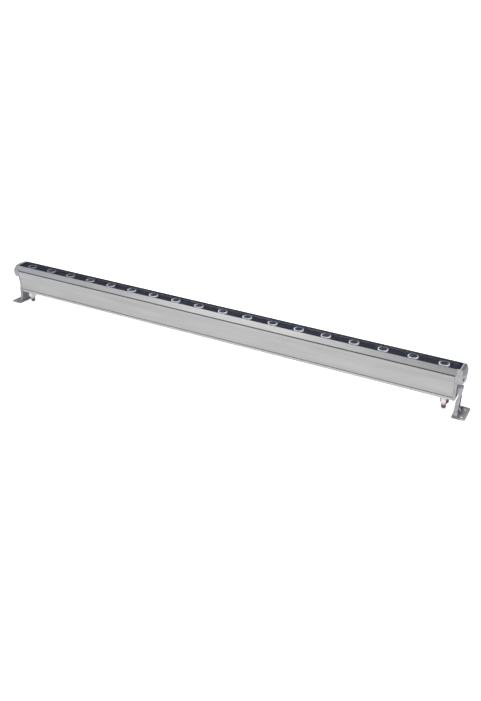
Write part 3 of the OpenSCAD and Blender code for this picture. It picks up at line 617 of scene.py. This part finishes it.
def makeCapJoints():
    for end, side in endSides.items():
        mesh = bmesh.new()
        half = [Vector((side * capJoint["place"], width, capJoint["crown"] - depth))
                for width, depth in capJoint["outline"]]
        path = half + [Vector((point.x, -point.y, point.z)) for point in reversed(half)]
        sweepTube(mesh, path, Vector((1, 0, 0)), capJoint["radius"], capJoint["sides"], closed=False)
        finishPiece("cap_joint_" + end, mesh, "seal_rubber", "light")


# Cast fillet where each bracket's arm meets its foot
footFillet = {"wall": 0.4988, "floor": 0.0028, "size": 0.0018, "buried": 0.0002, "halfLength": 0.0195,
              "steps": 6}


def makeFootFillets():
    size, buried = footFillet["size"], footFillet["buried"]
    for end, side in endSides.items():
        mesh = bmesh.new()
        section = [(-buried, -buried), (-buried, size)]
        for step in range(footFillet["steps"] + 1):
            turn = math.pi / 2 * step / footFillet["steps"]
            section.append((size - size * math.cos(turn), size - size * math.sin(turn)))
        section.append((size, -buried))
        front, back = ([mesh.verts.new((side * (footFillet["wall"] + out), way * footFillet["halfLength"],
                                        footFillet["floor"] + rise)) for out, rise in section]
                       for way in (-1, 1))
        for index in range(len(section)):
            following = (index + 1) % len(section)
            mesh.faces.new((front[index], front[following], back[following], back[index]))
        mesh.faces.new(front)
        mesh.faces.new(back)
        finishPiece("foot_fillet_" + end, mesh, "cast_silver", end + "_bracket")


makeGlassBead()
makeLensRidges()
makeSleeveGrips()
makeCapJoints()
makeFootFillets()
print("detail pieces built")


# Studio floor: plain pale paper, which the camera sees as white
studioPaper = {"size": 240.0, "colour": grey(0.93), "shade": grey(0.92), "rough": 0.9, "mask": (0.3, 0.7),
               "clouds": {"scale": 3.0, "detail": 1.0}, "glow": (0.29, 0.84),
               "shadowDepth": 0.35, "shadowAcross": (0.018, 0.075), "shadowAlong": (0.485, 0.56)}


def makeFloor():
    mesh = bpy.data.meshes.new("studioFloor")
    half = studioPaper["size"] / 2
    corners = [(-half, -half, 0), (half, -half, 0), (half, half, 0), (-half, half, 0)]
    mesh.from_pydata(corners, [], [(0, 1, 2, 3)])
    floor = bpy.data.objects.new("studioFloor", mesh)
    bpy.context.scene.collection.objects.link(floor)
    material, tree, shader = startMaterial("studioPaper", {"Roughness": studioPaper["rough"],
                                                           "Emission Color": grey(1.0)})
    clouds = spread(tree, noise(tree, stretchedCoords(tree), **studioPaper["clouds"]), *studioPaper["mask"])
    colour = mixColour(tree, clouds, studioPaper["shade"], studioPaper["colour"])
    setInput(tree, shader.inputs["Base Color"], colour)
    seen = addNode(tree, "ShaderNodeLightPath").outputs["Is Camera Ray"]  # it looks white but lights less
    place = objectPlace(tree)  # the paper under the light is in its shadow
    across = spread(tree, sizeOf(tree, place["Y"]), *studioPaper["shadowAcross"])
    along = spread(tree, sizeOf(tree, place["X"]), *studioPaper["shadowAlong"])
    outside = larger(tree, larger(tree, across, along), seen)
    glow = times(tree, spread(tree, seen, 0.0, 1.0, *studioPaper["glow"]),
                 spread(tree, outside, 0.0, 1.0, studioPaper["shadowDepth"], 1.0))
    setInput(tree, shader.inputs["Emission Strength"], glow)
    mesh.materials.append(material)


# Room around it: bright wall in front, dim one behind, dark ceiling, both side walls dimmer
studioSky = {"front": (0.92, 0.925, 0.945, 1), "back": (0.078, 0.083, 0.138, 1), "turn": (-0.55, 0.45),
             "top": (0.12, 0.125, 0.14, 1), "ceiling": (0.35, 0.80),
             "leftFade": (-0.75, -0.45, 0.42, 1.0), "rightFade": (0.35, 0.75, 1.0, 0.55)}


def makeSky():
    world = bpy.data.worlds.new("studioSky")
    bpy.context.scene.world = world
    world.use_nodes = True
    tree = world.node_tree
    way = splitVector(tree, addNode(tree, "ShaderNodeTexCoord").outputs["Generated"])
    walls = mixColour(tree, spread(tree, way["Y"], *studioSky["turn"]), studioSky["front"], studioSky["back"])
    lit = mixColour(tree, spread(tree, way["Z"], *studioSky["ceiling"]), walls, studioSky["top"])
    faded = times(tree, spread(tree, way["X"], *studioSky["leftFade"]),
                  spread(tree, way["X"], *studioSky["rightFade"]))
    seen = addNode(tree, "ShaderNodeLightPath").outputs["Is Camera Ray"]
    background = tree.nodes["Background"].inputs
    setInput(tree, background["Color"], mixColour(tree, seen, lit, grey(1.0)))
    setInput(tree, background["Strength"], larger(tree, seen, faded))


# Soft light panels, in metres and watts
softPanels = {
    "keyPanel": {"place": (-0.85, -1.75, 1.25), "target": (0, 0, 0.05), "size": (0.8, 0.4), "power": 3},
    "sidePanel": {"place": (1.2, -0.3, 0.24), "target": (0.5, 0, 0.05), "size": (0.6, 0.3), "power": 1.5},
    "topPanel": {"place": (0.0, -0.1, 1.2), "target": (0, 0, 0.05), "size": (2.0, 0.7), "power": 11},
}


def makeSoftPanels():
    for name, panel in softPanels.items():
        light = bpy.data.lights.new(name, "AREA")
        light.shape = "RECTANGLE"
        light.size, light.size_y = panel["size"]
        light.energy = panel["power"]
        holder = bpy.data.objects.new(name, light)
        bpy.context.scene.collection.objects.link(holder)
        holder.location = panel["place"]
        beam = Vector(panel["target"]) - Vector(panel["place"])
        holder.rotation_euler = beam.to_track_quat("-Z", "Y").to_euler()


# Camera of the photograph: metres, degrees and millimetres
camera = {"place": (0.6697, -1.1358, 0.6551), "yaw": -27.902, "pitch": 26.569, "roll": 1.14,
          "lens": 37.301, "sensor": 36.0, "clip": (0.02, 50.0)}


def makeCamera():
    yaw, pitch, roll = (math.radians(camera[name]) for name in ("yaw", "pitch", "roll"))
    ahead = Vector((math.sin(yaw) * math.cos(pitch), math.cos(yaw) * math.cos(pitch), -math.sin(pitch)))
    level = ahead.cross(up).normalized()
    upright = level.cross(ahead)
    right = math.cos(roll) * level + math.sin(roll) * upright
    crown = -math.sin(roll) * level + math.cos(roll) * upright
    data = bpy.data.cameras.new("photoCamera")
    data.lens = camera["lens"]
    data.sensor_width = camera["sensor"]
    data.clip_start, data.clip_end = camera["clip"]
    holder = bpy.data.objects.new("photoCamera", data)
    bpy.context.scene.collection.objects.link(holder)
    turn = Matrix((right, crown, -ahead)).transposed().to_4x4()
    holder.matrix_world = Matrix.Translation(camera["place"]) @ turn
    bpy.context.scene.camera = holder


makeFloor()
makeSky()
makeSoftPanels()
makeCamera()
bpy.context.scene.view_settings.view_transform = "Standard"
print("studio and camera ready")
